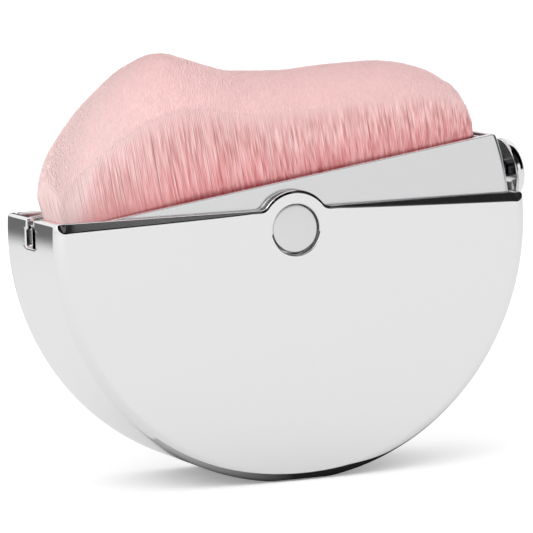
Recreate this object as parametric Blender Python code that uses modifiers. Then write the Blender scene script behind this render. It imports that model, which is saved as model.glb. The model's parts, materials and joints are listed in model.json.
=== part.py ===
"""Face blending brush: a half-disc carrier with a tuft of bristles turns inside a half-disc case.

The brush stands on the small flat at the foot of its case. +Z is up, -Y is the front and the knob is at +X.
The origin is the middle of the foot. Everything is placed from the pivot, which is straight above it.
"""

import math

import bmesh
import bpy
from mathutils import Vector

MM = 0.001

# Case: a half disc, open at the top, with an ear on each wall round the pivot
CASE_RADIUS = 34.0 * MM
CASE_THICKNESS = 19.8 * MM
CASE_WALL = 1.1 * MM
CASE_FILLET = 1.4 * MM
CASE_INNER_FILLET = 0.7 * MM
CASE_RIM_HEIGHT = 2.8 * MM
FOOT_DEPTH = 0.2 * MM
EAR_RADIUS = 5.2 * MM
EAR_BLEND_RADIUS = 1.2 * MM
BEVEL_END_DROP = 1.2 * MM
BEVEL_EAR_DROP = 0.25 * MM
BEVEL_SLOPE_SHARE = 0.6

# Keyhole slots that the knob's collar drops into, one at each end of the rim
SLOT_NECK_WIDTH = 2.95 * MM
SLOT_CHAMBER_WIDTH = 3.8 * MM
SLOT_SHOULDER_HEIGHT = 1.25 * MM
SLOT_FLOOR_DEPTH = 1.1 * MM

# Carrier: a smaller half disc that holds the tuft and turns about the pivot
CARRIER_SWING_GAP = 0.5 * MM
CARRIER_WALL = 1.0 * MM
CARRIER_FILLET = 1.0 * MM
CARRIER_INNER_FILLET = 0.5 * MM
CARRIER_TILT = math.radians(8.2)
LEDGE_WIDTH = 0.6 * MM
LEDGE_HEIGHT = 0.6 * MM

# Pivot: two buttons pressed into a sleeve, with a washer between each wall and the carrier
BUTTON_RADIUS = 3.2 * MM
BUTTON_RECESS = 0.35 * MM
BUTTON_EDGE = 0.25 * MM
BUTTON_DOME = 0.12 * MM
SHANK_RADIUS = 1.2 * MM
SHANK_LENGTH = 4.0 * MM
SLEEVE_WALL = 0.6 * MM
BARREL_WALL = 1.0 * MM
WASHER_WIDTH = 0.5 * MM
WASHER_THICKNESS = 0.6 * MM
WASHER_POCKET_DEPTH = 0.9 * MM
WAVE_WASHER_THICKNESS = 0.25 * MM
WAVE_COUNT = 3
PAD_WALL = 0.5 * MM
PAD_THICKNESS = 1.0 * MM

# Knob: a turned head on a stud, with a collar that fits the slots
KNOB_HEAD_RADIUS = 4.3 * MM
KNOB_HEAD_THICKNESS = 1.82 * MM
KNOB_HEAD_FACE_SHARE = 0.65
KNOB_HEAD_CLEARANCE = 1.65 * MM
COLLAR_RADIUS = 1.2 * MM
STUD_RADIUS = 0.6 * MM
STUD_BLIND_DEPTH = 1.15 * MM
STUD_TAIL = 0.5 * MM
NUT_RADIUS = 1.85 * MM
NUT_THICKNESS = 1.3 * MM
NUT_SIDES = 6
KNOB_WASHER_RADIUS = 2.3 * MM
KNOB_WASHER_THICKNESS = 0.4 * MM
BOSS_RADIUS = 2.7 * MM
BOSS_HEIGHT = 1.4 * MM

# Tray and tuft: the bristles stand in a slice of set resin, glued into a shallow tray
TRAY_WALL = 0.4 * MM
TRAY_DEPTH = 1.0 * MM
TRAY_FLOOR = 0.35 * MM
TUFT_SLICE_THICKNESS = 0.35 * MM
TUFT_ROWS = 9
TUFT_COLUMNS = 38
STRAND_RADIUS = 0.52 * MM
STRAND_TIP_SHARE = 0.85
STRAND_ROOT_DEPTH = 0.25 * MM
TUFT_PEAK = 19.3 * MM
TUFT_FLARE_HEIGHT = 4.0 * MM
TUFT_SIDE_FLARE = 0.7 * MM
TUFT_END_FLARE = 0.5 * MM
TUFT_SWING_CLEARANCE = 0.5 * MM
TUFT_SHOULDER_SHARE = 0.62
TUFT_ARCH_POWER = 2.4
TUFT_END_NARROWING = 0.2
TUFT_END_POWER = 12
TUFT_CREST_SHARES = (
    (-1.00, 0.260),
    (-0.984, 0.356),
    (-0.938, 0.482),
    (-0.867, 0.603),
    (-0.765, 0.747),
    (-0.674, 0.841),
    (-0.583, 0.927),
    (-0.502, 0.972),
    (-0.421, 1.000),
    (-0.350, 0.984),
    (-0.270, 0.923),
    (-0.180, 0.851),
    (-0.090, 0.788),
    (0.031, 0.746),
    (0.209, 0.698),
    (0.358, 0.682),
    (0.507, 0.657),
    (0.626, 0.633),
    (0.725, 0.596),
    (0.814, 0.540),
    (0.883, 0.478),
    (0.937, 0.401),
    (0.971, 0.351),
    (1.00, 0.160),
)

# Fits
SEAT_GAP = 0.3 * MM
OVERRUN = 2.0 * MM
MERGE = 0.05 * MM

# How finely round shapes are cut into flats
DISC_STEPS = 80
SMALL_STEPS = 24
FILLET_STEPS = 3
BLEND_STEPS = 3
EAR_STEPS = 16
KNOB_EDGE_STEPS = 6
WASHER_STEPS = 24
STRAND_SIDES = 3
SMOOTH_ANGLE = math.radians(30)
ROUNDED_ANGLE = math.radians(60)

# Sizes that follow from those above
PIVOT_HEIGHT = CASE_RADIUS - FOOT_DEPTH
CASE_HALF = CASE_THICKNESS / 2
CASE_INNER_HALF = CASE_HALF - CASE_WALL
CASE_INNER_RADIUS = CASE_RADIUS - CASE_WALL
CARRIER_RADIUS = CASE_INNER_RADIUS - CARRIER_SWING_GAP
CARRIER_HALF = CASE_INNER_HALF - SEAT_GAP
CARRIER_INNER_HALF = CARRIER_HALF - CARRIER_WALL
CARRIER_INNER_RADIUS = CARRIER_RADIUS - CARRIER_WALL
EAR_HOLE_RADIUS = BUTTON_RADIUS + SEAT_GAP
POCKET_FLOOR = CARRIER_HALF - WASHER_POCKET_DEPTH
WASHER_INNER_RADIUS = BUTTON_RADIUS + SEAT_GAP
WASHER_OUTER_RADIUS = WASHER_INNER_RADIUS + WASHER_WIDTH
POCKET_RADIUS = WASHER_OUTER_RADIUS + SEAT_GAP
PAD_RADIUS = POCKET_RADIUS + PAD_WALL
SLEEVE_BORE = SHANK_RADIUS + SEAT_GAP
SLEEVE_RADIUS = SLEEVE_BORE + SLEEVE_WALL
BARREL_BORE = SLEEVE_RADIUS + SEAT_GAP
BARREL_RADIUS = BARREL_BORE + BARREL_WALL
STUD_BORE = STUD_RADIUS + SEAT_GAP
KNOB_FACE = CASE_RADIUS + KNOB_HEAD_CLEARANCE
BOSS_FACE = CARRIER_INNER_RADIUS - BOSS_HEIGHT
TRAY_BOTTOM = PAD_RADIUS + SEAT_GAP
TRAY_TOP = TRAY_BOTTOM + TRAY_DEPTH
CARRIER_RIM_HEIGHT = TRAY_TOP + SEAT_GAP
TRAY_HALF_LENGTH = math.sqrt(CARRIER_INNER_RADIUS**2 - CARRIER_RIM_HEIGHT**2) - SEAT_GAP
TRAY_HALF_WIDTH = CARRIER_INNER_HALF - SEAT_GAP
SLICE_HALF_LENGTH = TRAY_HALF_LENGTH - TRAY_WALL - SEAT_GAP
SLICE_HALF_WIDTH = TRAY_HALF_WIDTH - TRAY_WALL - SEAT_GAP
SLICE_BOTTOM = TRAY_BOTTOM + TRAY_FLOOR + SEAT_GAP
SLICE_TOP = SLICE_BOTTOM + TUFT_SLICE_THICKNESS


def clear_scene():
    for found in list(bpy.data.objects):
        bpy.data.objects.remove(found)


def make_collection(name):
    made = bpy.data.collections.new(name)
    bpy.context.scene.collection.children.link(made)
    return made


def make_material(name, color, roughness, metallic):
    made = bpy.data.materials.new(name)
    made.use_nodes = True
    shader = made.node_tree.nodes["Principled BSDF"]
    shader.inputs["Base Color"].default_value = (*color, 1.0)
    shader.inputs["Roughness"].default_value = roughness
    shader.inputs["Metallic"].default_value = metallic
    return made


def link(made, collection, parent):
    collection.objects.link(made)
    made.parent = parent
    return made


def finish_part(made, stage, parent, material, smooth=True):
    """Files an object under the brush's collection, on its parent, with its own material."""
    link(made, stage["parts"], parent)
    made.data.materials.append(material)
    if smooth:
        made.data.shade_smooth()
        made.data.set_sharp_from_angle(angle=SMOOTH_ANGLE)
    return made


def finish_tool(made, stage, parent):
    """Files a cutter, or a shape that is joined to another, out of sight."""
    link(made, stage["cutters"], parent)
    made.hide_render = True
    made.display_type = "WIRE"
    return made


def boolean(target, tool, operation):
    modifier = target.modifiers.new(tool.name, "BOOLEAN")
    modifier.object = tool
    modifier.operation = operation
    modifier.solver = "EXACT"


# Outlines

def arc(centre, radius, start, end, steps):
    """Points on an arc, both ends included."""
    angles = [start + (end - start) * i / steps for i in range(steps + 1)]
    return [(centre[0] + radius * math.cos(a), centre[1] + radius * math.sin(a)) for a in angles]


def tube_profile(inner, outer, bottom, top):
    """The closed section of a plain tube."""
    return [(inner, top), (outer, top), (outer, bottom), (inner, bottom), (inner, top)]


def rod_profile(radius, bottom, top):
    return [(0, top), (radius, top), (radius, bottom), (0, bottom)]


# Solids

def turned(name, profile, steps):
    """A profile of (radius, height) turned about the local Z axis."""
    mesh = bpy.data.meshes.new(name)
    points = [(radius, 0, height) for radius, height in profile]
    closed = profile[0] == profile[-1]
    if closed:
        points = points[:-1]
    edges = [(i, i + 1) for i in range(len(points) - 1)]
    if closed:
        edges.append((len(points) - 1, 0))
    mesh.from_pydata(points, edges, [])
    made = bpy.data.objects.new(name, mesh)
    screw = made.modifiers.new("turn", "SCREW")
    screw.axis = "Z"
    screw.angle = math.tau
    screw.steps = steps
    screw.render_steps = steps
    screw.use_merge_vertices = True
    screw.merge_threshold = MERGE
    screw.use_smooth_shade = True
    return made


def cylinder(name, radius, low, high, steps):
    """A round bar along the local Z axis, between two heights."""
    mesh = bpy.data.meshes.new(name)
    shape = bmesh.new()
    bmesh.ops.create_cone(shape, cap_ends=True, segments=steps, radius1=radius, radius2=radius,
                          depth=high - low)
    bmesh.ops.translate(shape, vec=(0, 0, (high + low) / 2), verts=shape.verts)
    shape.to_mesh(mesh)
    shape.free()
    return bpy.data.objects.new(name, mesh)


def disc(name, radius, half, fillet):
    """A disc about the local Z axis with rounded edges."""
    made = cylinder(name, radius, -half, half, DISC_STEPS)
    bevel = made.modifiers.new("rounded edges", "BEVEL")
    bevel.width = fillet
    bevel.segments = FILLET_STEPS
    bevel.limit_method = "ANGLE"
    bevel.angle_limit = ROUNDED_ANGLE
    return made


def lay_along_y(made):
    """Turns the local Z axis of a turned piece to the pivot's axis."""
    made.rotation_euler = (-math.pi / 2, 0, 0)
    return made


def lay_along_x(made):
    """Turns the local Z axis of a turned piece to the knob's axis."""
    made.rotation_euler = (0, math.pi / 2, 0)
    return made


def block(name, low, high):
    """A box between two corners."""
    mesh = bpy.data.meshes.new(name)
    shape = bmesh.new()
    bmesh.ops.create_cube(shape, size=1)
    low, high = Vector(low), Vector(high)
    bmesh.ops.scale(shape, vec=high - low, verts=shape.verts)
    bmesh.ops.translate(shape, vec=(high + low) / 2, verts=shape.verts)
    shape.to_mesh(mesh)
    shape.free()
    return bpy.data.objects.new(name, mesh)


def plate(name, outline, half_thickness, rotation):
    """A flat outline given a thickness, as a mesh with its caps welded."""
    curve = bpy.data.curves.new(name, "CURVE")
    curve.dimensions = "2D"
    curve.fill_mode = "BOTH"
    curve.extrude = half_thickness
    spline = curve.splines.new("POLY")
    spline.points.add(len(outline) - 1)
    for point, (x, y) in zip(spline.points, outline):
        point.co = (x, y, 0, 1)
    spline.use_cyclic_u = True
    shaped = bpy.data.objects.new(name, curve)
    bpy.context.scene.collection.objects.link(shaped)
    shaped.rotation_euler = rotation
    bpy.context.view_layer.update()
    evaluated = shaped.evaluated_get(bpy.context.evaluated_depsgraph_get())
    mesh = bpy.data.meshes.new_from_object(evaluated)
    shape = bmesh.new()
    shape.from_mesh(mesh)
    bmesh.ops.remove_doubles(shape, verts=shape.verts, dist=MERGE)
    bmesh.ops.recalc_face_normals(shape, faces=shape.faces)
    shape.to_mesh(mesh)
    shape.free()
    turn = shaped.matrix_world.copy()
    bpy.data.objects.remove(shaped)
    made = bpy.data.objects.new(name, mesh)
    made.matrix_world = turn
    return made


# Case

def mouth_outline():
    """The space above the case's rim, which goes round the ear in one smooth line."""
    reach = CASE_RADIUS + OVERRUN
    blend_height = CASE_RIM_HEIGHT + EAR_BLEND_RADIUS
    blend_x = math.sqrt((EAR_RADIUS + EAR_BLEND_RADIUS) ** 2 - blend_height**2)
    lean = math.atan2(blend_height, blend_x)
    right = arc((blend_x, blend_height), EAR_BLEND_RADIUS, -math.pi / 2, lean - math.pi, BLEND_STEPS)
    left = [(-x, y) for x, y in right]
    ear = arc((0, 0), EAR_RADIUS, math.pi - lean, lean, EAR_STEPS)
    return [(-reach, CASE_RIM_HEIGHT), *left, *ear[1:-1], *reversed(right),
            (reach, CASE_RIM_HEIGHT), (reach, reach), (-reach, reach)]


def slot_outline():
    """A keyhole: a neck that opens at the rim, over a wider chamber."""
    neck = SLOT_NECK_WIDTH / 2
    chamber = SLOT_CHAMBER_WIDTH / 2
    shoulder_top = SLOT_SHOULDER_HEIGHT + chamber - neck
    top = CASE_RIM_HEIGHT + OVERRUN
    right = [(chamber, -SLOT_FLOOR_DEPTH), (chamber, SLOT_SHOULDER_HEIGHT), (neck, shoulder_top), (neck, top)]
    return right + [(-y, z) for y, z in reversed(right)]


def bevel_tool(name, side, face):
    """A wedge that slopes the rim's outer edge, wide at the end of the rim and narrow at the ear."""
    far = side * (CASE_RADIUS + OVERRUN)
    near = side * (EAR_RADIUS + EAR_BLEND_RADIUS)
    slope = (BEVEL_END_DROP - BEVEL_EAR_DROP) / (CASE_RADIUS - abs(near))
    mesh = bpy.data.meshes.new(name)
    shape = bmesh.new()
    bmesh.ops.create_cube(shape, size=1)
    for vert in shape.verts:
        x = far if vert.co.x > 0 else near
        drop = BEVEL_EAR_DROP + slope * (abs(x) - abs(near))
        low = vert.co.z < 0
        out = vert.co.y < 0
        z = CASE_RIM_HEIGHT - drop - OVERRUN if low else CASE_RIM_HEIGHT + OVERRUN
        y = OVERRUN if low else -(drop + OVERRUN)
        y = CASE_HALF + BEVEL_SLOPE_SHARE * y
        if out:
            y += OVERRUN + BEVEL_SLOPE_SHARE * OVERRUN
        vert.co = (x, face * y, z)
    shape.normal_update()
    bmesh.ops.recalc_face_normals(shape, faces=shape.faces)
    shape.to_mesh(mesh)
    shape.free()
    return bpy.data.objects.new(name, mesh)


def build_case(stage, pivot):
    case = disc("outer_case", CASE_RADIUS, CASE_HALF, CASE_FILLET)
    finish_part(lay_along_y(case), stage, pivot, stage["chrome"])

    cavity = disc("case_cavity_tool", CASE_INNER_RADIUS, CASE_INNER_HALF, CASE_INNER_FILLET)
    mouth = plate("case_mouth_tool", mouth_outline(), CASE_HALF + OVERRUN, (math.pi / 2, 0, 0))
    slots = plate("slot_tool", slot_outline(), CASE_RADIUS + OVERRUN, (math.pi / 2, 0, math.pi / 2))
    hole = cylinder("ear_hole_tool", EAR_HOLE_RADIUS, -CASE_HALF - OVERRUN, CASE_HALF + OVERRUN, SMALL_STEPS)
    foot = block("foot_tool", (-CASE_RADIUS, -CASE_THICKNESS, -CASE_RADIUS - OVERRUN),
                 (CASE_RADIUS, CASE_THICKNESS, -PIVOT_HEIGHT))
    tools = [lay_along_y(cavity), mouth, slots, lay_along_y(hole), foot]
    tools += [bevel_tool(f"bevel_tool_{side}_{face}", side, face) for side in (-1, 1) for face in (-1, 1)]
    for tool in tools:
        boolean(case, finish_tool(tool, stage, pivot), "DIFFERENCE")


# Carrier

def build_carrier(stage, pivot):
    carrier = disc("carrier_shell", CARRIER_RADIUS, CARRIER_HALF, CARRIER_FILLET)
    finish_part(lay_along_y(carrier), stage, pivot, stage["chrome"])

    cavity = disc("carrier_cavity_tool", CARRIER_INNER_RADIUS, CARRIER_INNER_HALF, CARRIER_INNER_FILLET)
    boolean(carrier, finish_tool(lay_along_y(cavity), stage, pivot), "DIFFERENCE")

    root = CARRIER_WALL / 2
    barrel = cylinder("barrel_tool", BARREL_RADIUS, -CARRIER_INNER_HALF - root, CARRIER_INNER_HALF + root,
                      SMALL_STEPS)
    joined = [lay_along_y(barrel)]
    for side in (-1, 1):
        ends = sorted((side * (CARRIER_INNER_HALF + root), side * (CARRIER_INNER_HALF - PAD_THICKNESS)))
        joined.append(lay_along_y(cylinder(f"pad_tool_{side}", PAD_RADIUS, *ends, SMALL_STEPS)))
        edge = sorted((side * (CARRIER_INNER_HALF + root), side * (CARRIER_INNER_HALF - LEDGE_WIDTH)))
        top = TRAY_BOTTOM - SEAT_GAP
        joined.append(block(f"ledge_tool_{side}", (-TRAY_HALF_LENGTH, edge[0], top - LEDGE_HEIGHT),
                            (TRAY_HALF_LENGTH, edge[1], top)))
    boss = cylinder("boss_tool", BOSS_RADIUS, BOSS_FACE, CARRIER_RADIUS - root, SMALL_STEPS)
    joined.append(lay_along_x(boss))
    for tool in joined:
        boolean(carrier, finish_tool(tool, stage, pivot), "UNION")

    reach = CARRIER_RADIUS + OVERRUN
    mouth = block("carrier_mouth_tool", (-reach, -CARRIER_HALF - OVERRUN, CARRIER_RIM_HEIGHT),
                  (reach, CARRIER_HALF + OVERRUN, reach))
    bore = cylinder("bore_tool", BARREL_BORE, -CARRIER_HALF - OVERRUN, CARRIER_HALF + OVERRUN, SMALL_STEPS)
    stud_hole = cylinder("stud_hole_tool", STUD_BORE, BOSS_FACE - OVERRUN, reach, SMALL_STEPS)
    removed = [mouth, lay_along_y(bore), lay_along_x(stud_hole)]
    for side in (-1, 1):
        ends = sorted((side * POCKET_FLOOR, side * (CARRIER_HALF + OVERRUN)))
        removed.append(lay_along_y(cylinder(f"pocket_tool_{side}", POCKET_RADIUS, *ends, SMALL_STEPS)))
    for tool in removed:
        boolean(carrier, finish_tool(tool, stage, pivot), "DIFFERENCE")


# Pivot

def button_profile():
    """A domed head that fills the ear's hole, and a shank that is pressed into the sleeve."""
    face = CASE_HALF - BUTTON_RECESS
    seat = POCKET_FLOOR + SEAT_GAP
    shoulder = face - BUTTON_DOME
    centre = (BUTTON_RADIUS - BUTTON_EDGE, shoulder - BUTTON_EDGE)
    edge = arc(centre, BUTTON_EDGE, math.pi / 2, 0, FILLET_STEPS)
    return [(0, face), *edge, (BUTTON_RADIUS, seat), (SHANK_RADIUS, seat),
            (SHANK_RADIUS, seat - SHANK_LENGTH), (0, seat - SHANK_LENGTH)]


def wave_washer(name):
    """A ring of spring sheet with waves round it."""
    mesh = bpy.data.meshes.new(name)
    shape = bmesh.new()
    bmesh.ops.create_grid(shape, x_segments=WASHER_STEPS, y_segments=1, size=1)
    middle = (WASHER_INNER_RADIUS + WASHER_OUTER_RADIUS) / 2
    height = WASHER_THICKNESS - WAVE_WASHER_THICKNESS
    for vert in shape.verts:
        angle = math.pi * vert.co.x
        radius = middle + vert.co.y * WASHER_WIDTH / 2
        wave = height / 2 * math.cos(WAVE_COUNT * angle)
        vert.co = (radius * math.cos(angle), radius * math.sin(angle), wave)
    bmesh.ops.remove_doubles(shape, verts=shape.verts, dist=MERGE)
    shape.normal_update()
    bmesh.ops.recalc_face_normals(shape, faces=shape.faces)
    shape.to_mesh(mesh)
    shape.free()
    made = bpy.data.objects.new(name, mesh)
    solidify = made.modifiers.new("sheet", "SOLIDIFY")
    solidify.thickness = WAVE_WASHER_THICKNESS
    solidify.offset = 0
    return made


def build_pivot(stage, pivot):
    sleeve = turned("pivot_sleeve", tube_profile(SLEEVE_BORE, SLEEVE_RADIUS, -POCKET_FLOOR, POCKET_FLOOR),
                    SMALL_STEPS)
    finish_part(lay_along_y(sleeve), stage, pivot, stage["steel"])
    front = turned("front_pivot_button", button_profile(), SMALL_STEPS)
    rear = turned("rear_pivot_button", button_profile(), SMALL_STEPS)
    finish_part(lay_along_y(front), stage, pivot, stage["satin"])
    finish_part(lay_along_y(rear), stage, pivot, stage["satin"])
    front.rotation_euler.x += math.pi

    low = POCKET_FLOOR + SEAT_GAP
    washer = turned("front_friction_washer",
                    tube_profile(WASHER_INNER_RADIUS, WASHER_OUTER_RADIUS, low, low + WASHER_THICKNESS),
                    WASHER_STEPS)
    finish_part(lay_along_y(washer), stage, pivot, stage["nylon"])
    washer.rotation_euler.x += math.pi
    spring = wave_washer("rear_wave_washer")
    finish_part(lay_along_y(spring), stage, pivot, stage["steel"])
    spring.location.y = low + WASHER_THICKNESS / 2


# Knob

def knob_head_profile():
    """A round head with a blind bore; its edge curves over to a flat outer face."""
    top = KNOB_FACE + KNOB_HEAD_THICKNESS
    face = KNOB_HEAD_RADIUS * KNOB_HEAD_FACE_SHARE
    curve = KNOB_HEAD_RADIUS - face
    edge = []
    for i in range(KNOB_EDGE_STEPS + 1):
        angle = math.pi / 2 * (1 - i / KNOB_EDGE_STEPS)
        edge.append((face + curve * math.cos(angle), KNOB_FACE + KNOB_HEAD_THICKNESS * math.sin(angle)))
    floor = KNOB_FACE + STUD_BLIND_DEPTH
    return [(0, top), *edge, (STUD_BORE, KNOB_FACE), (STUD_BORE, floor), (0, floor)]


def build_knob(stage, pivot):
    washer_top = BOSS_FACE - SEAT_GAP
    washer_bottom = washer_top - KNOB_WASHER_THICKNESS
    nut_top = washer_bottom - SEAT_GAP
    nut_bottom = nut_top - NUT_THICKNESS
    stud_end = KNOB_FACE + STUD_BLIND_DEPTH - SEAT_GAP
    pieces = (
        ("knob_head", knob_head_profile(), SMALL_STEPS, "chrome"),
        ("knob_collar", tube_profile(STUD_BORE, COLLAR_RADIUS, CARRIER_RADIUS + SEAT_GAP,
                                     KNOB_FACE - SEAT_GAP), SMALL_STEPS, "steel"),
        ("knob_stud", rod_profile(STUD_RADIUS, nut_bottom - STUD_TAIL, stud_end), SMALL_STEPS, "steel"),
        ("knob_washer", tube_profile(STUD_BORE, KNOB_WASHER_RADIUS, washer_bottom, washer_top),
         SMALL_STEPS, "steel"),
        ("knob_nut", tube_profile(STUD_BORE, NUT_RADIUS, nut_bottom, nut_top), NUT_SIDES, "steel"),
    )
    for name, profile, steps, material in pieces:
        finish_part(lay_along_x(turned(name, profile, steps)), stage, pivot, stage[material])


# Tray and tuft

def build_tray(stage, pivot):
    tray = block("bristle_tray", (-TRAY_HALF_LENGTH, -TRAY_HALF_WIDTH, TRAY_BOTTOM),
                 (TRAY_HALF_LENGTH, TRAY_HALF_WIDTH, TRAY_TOP))
    finish_part(tray, stage, pivot, stage["tray"], smooth=False)
    length = TRAY_HALF_LENGTH - TRAY_WALL
    width = TRAY_HALF_WIDTH - TRAY_WALL
    pocket = block("tray_pocket_tool", (-length, -width, TRAY_BOTTOM + TRAY_FLOOR),
                   (length, width, TRAY_TOP + OVERRUN))
    boolean(tray, finish_tool(pocket, stage, pivot), "DIFFERENCE")


def crest_height(along):
    """How high the tuft stands over the carrier's rim, for a place along it from -1 to 1."""
    places = TUFT_CREST_SHARES
    along = min(max(along, places[0][0]), places[-1][0])
    for (x0, h0), (x1, h1) in zip(places, places[1:]):
        if along <= x1:
            share = (along - x0) / (x1 - x0)
            return TUFT_PEAK * (h0 + (h1 - h0) * share)
    return TUFT_PEAK * places[-1][1]


def strand_rings(along, across):
    """The middle of a bristle at its root, at the top of the flare and at its tip.

    Every bristle spreads by the same rule, so neighbours never cross, and the tips are trimmed to the
    circle that swings inside the case.
    """
    root_length = SLICE_HALF_LENGTH - STRAND_RADIUS
    root_width = SLICE_HALF_WIDTH - STRAND_RADIUS
    length = root_length + TUFT_END_FLARE
    width = root_width + TUFT_SIDE_FLARE
    narrow = 1 - TUFT_END_NARROWING * abs(along) ** TUFT_END_POWER
    arch = 1 - (1 - TUFT_SHOULDER_SHARE) * abs(across) ** TUFT_ARCH_POWER
    swing = CASE_INNER_RADIUS - TUFT_SWING_CLEARANCE
    trimmed = math.sqrt(swing**2 - (abs(along) * length + STRAND_RADIUS) ** 2)
    tip_height = min(CARRIER_RIM_HEIGHT + crest_height(along) * arch, trimmed)
    flare_height = min(SLICE_TOP + TUFT_FLARE_HEIGHT, (SLICE_TOP + tip_height) / 2)
    return (
        (Vector((along * root_length, across * root_width * narrow, SLICE_TOP - STRAND_ROOT_DEPTH)), 1.0),
        (Vector((along * length, across * width * narrow, flare_height)), 1.0),
        (Vector((along * length, across * width * narrow, tip_height)), STRAND_TIP_SHARE),
    )


def tuft_places():
    """Rows of bristles, each row shifted by half a step from the next."""
    for row in range(TUFT_ROWS):
        across = -1 + 2 * row / (TUFT_ROWS - 1)
        shift = (row % 2) / 2
        for column in range(TUFT_COLUMNS):
            yield -1 + 2 * (column + shift) / (TUFT_COLUMNS - 1 / 2), across


def build_tuft(stage, pivot):
    tuft = block("bristle_tuft", (-SLICE_HALF_LENGTH, -SLICE_HALF_WIDTH, SLICE_BOTTOM),
                 (SLICE_HALF_LENGTH, SLICE_HALF_WIDTH, SLICE_TOP))
    finish_part(tuft, stage, pivot, stage["bristle"], smooth=False)
    mesh = bpy.data.meshes.new("strands_tool")
    shape = bmesh.new()
    for along, across in tuft_places():
        rings = strand_rings(along, across)
        made = bmesh.ops.create_cone(shape, cap_ends=True, segments=STRAND_SIDES,
                                     radius1=STRAND_RADIUS, radius2=STRAND_RADIUS, depth=1)
        low = [v for v in made["verts"] if v.co.z < 0]
        high = [v for v in made["verts"] if v.co.z > 0]
        cap = next(f for f in high[0].link_faces if set(f.verts) == set(high))
        raised = bmesh.ops.extrude_discrete_faces(shape, faces=[cap])["faces"][0]
        tip = list(raised.verts)
        for verts, (centre, share) in zip((low, high, tip), rings):
            for vert in verts:
                vert.co = (centre.x + vert.co.x * share, centre.y + vert.co.y * share, centre.z)
    bmesh.ops.remove_doubles(shape, verts=shape.verts, dist=MERGE)
    shape.to_mesh(mesh)
    shape.free()
    strands = bpy.data.objects.new("strands_tool", mesh)
    boolean(tuft, finish_tool(strands, stage, pivot), "UNION")


def build():
    clear_scene()
    stage = {
        "parts": make_collection("face_blending_brush"),
        "cutters": make_collection("cutters"),
        "chrome": make_material("chrome plate", (0.80, 0.80, 0.81), 0.12, 1.0),
        "satin": make_material("satin steel", (0.60, 0.60, 0.61), 0.35, 1.0),
        "steel": make_material("plain steel", (0.50, 0.50, 0.52), 0.30, 1.0),
        "nylon": make_material("white nylon", (0.85, 0.85, 0.83), 0.50, 0.0),
        "tray": make_material("grey plastic", (0.60, 0.60, 0.60), 0.45, 0.0),
        "bristle": make_material("pink bristle", (0.86, 0.55, 0.56), 0.60, 0.0),
    }
    pivot = bpy.data.objects.new("case_pivot", None)
    stage["parts"].objects.link(pivot)
    pivot.location.z = PIVOT_HEIGHT
    carrier_pivot = bpy.data.objects.new("carrier_pivot", None)
    stage["parts"].objects.link(carrier_pivot)
    carrier_pivot.location.z = PIVOT_HEIGHT
    carrier_pivot.rotation_euler.y = -CARRIER_TILT
    build_case(stage, pivot)
    build_carrier(stage, carrier_pivot)
    build_pivot(stage, carrier_pivot)
    build_knob(stage, carrier_pivot)
    build_tray(stage, carrier_pivot)
    build_tuft(stage, carrier_pivot)


if __name__ == "__main__":
    build()
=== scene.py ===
"""Dresses the packed face blending brush: polished chrome shells, a turned knob and a dense tuft of fibre.

The packed model is the frame. +Z is up, -Y is the front and +X is towards the knob. The carrier's own frame
turns with it about the pivot; a point there is (along, across, height), measured from the pivot.
"""

import json
import math
import random

import bmesh
import bpy
from mathutils import Matrix, Vector, noise


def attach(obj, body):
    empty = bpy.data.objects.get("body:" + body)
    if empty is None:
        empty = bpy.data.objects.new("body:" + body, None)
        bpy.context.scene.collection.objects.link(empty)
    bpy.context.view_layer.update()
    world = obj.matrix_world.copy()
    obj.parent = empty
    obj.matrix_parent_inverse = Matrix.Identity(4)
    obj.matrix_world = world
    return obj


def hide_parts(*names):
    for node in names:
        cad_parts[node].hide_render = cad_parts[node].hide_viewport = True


bl_info = {
    "name": "Face Blending Brush",
    "version": (1, 0, 0),
    "blender": (4, 5, 0),
    "location": "3D View > Sidebar > Brush",
    "description": "Builds the visible pieces of a flip-out face brush round its packed model",
    "category": "Object",
}

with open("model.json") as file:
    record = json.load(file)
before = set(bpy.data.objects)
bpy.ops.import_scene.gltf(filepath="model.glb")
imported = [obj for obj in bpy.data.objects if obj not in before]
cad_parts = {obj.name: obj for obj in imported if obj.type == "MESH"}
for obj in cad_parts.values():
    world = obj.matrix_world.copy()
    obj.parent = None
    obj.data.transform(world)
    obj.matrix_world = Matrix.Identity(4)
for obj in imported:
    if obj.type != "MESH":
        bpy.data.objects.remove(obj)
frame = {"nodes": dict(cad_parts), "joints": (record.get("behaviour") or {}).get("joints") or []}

MM = 0.001
PIVOT = Vector(frame["joints"][0]["pos_m"])
CARRIER_TILT = math.radians(8.2)
WELD = 0.001 * MM
# The sloped edge of the rim widens from the ear to the end by this power of the way
BAND_POWER = 0.8
# The pivot hole is narrower where its direction points higher than this
LIP_END = -0.15
# A face that is this close to an axis is flat
FLAT_COSINE = 0.99999
# A rounded edge as (depth, widening) for a radius of 1. The first point is past the skin, so the cut comes through
FLARE = ((-0.134, 1.5), (0.134, 0.5), (0.5, 0.134))
BRUSH_MATERIALS = {}

# How finely the shells are divided
EAR_STEPS = 28
BLEND_STEPS = 10
RIM_STEPS = 40
CORNER_STEPS = 12
SIDE_STEPS = 5
SWEEP_STEPS = 84
FOOT_STEPS = 6
ROUND_STEPS = 4
TURN_STEPS = 96
KNOB_STEPS = 16
SHEET_STEPS = 12

# Kinds of node and what the sums do
MATH, VECTOR_MATH, RANGE = "ShaderNodeMath", "ShaderNodeVectorMath", "ShaderNodeMapRange"
STORE = "GeometryNodeStoreNamedAttribute"
PLUS, MINUS, TIMES, TIMES_PLUS, OVER, SCALED = (
    {"operation": name} for name in ("ADD", "SUBTRACT", "MULTIPLY", "MULTIPLY_ADD", "DIVIDE", "SCALE"))
NUMBERS, VECTORS = ({"data_type": kind, "domain": "POINT"} for kind in ("FLOAT", "FLOAT_VECTOR"))


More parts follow.
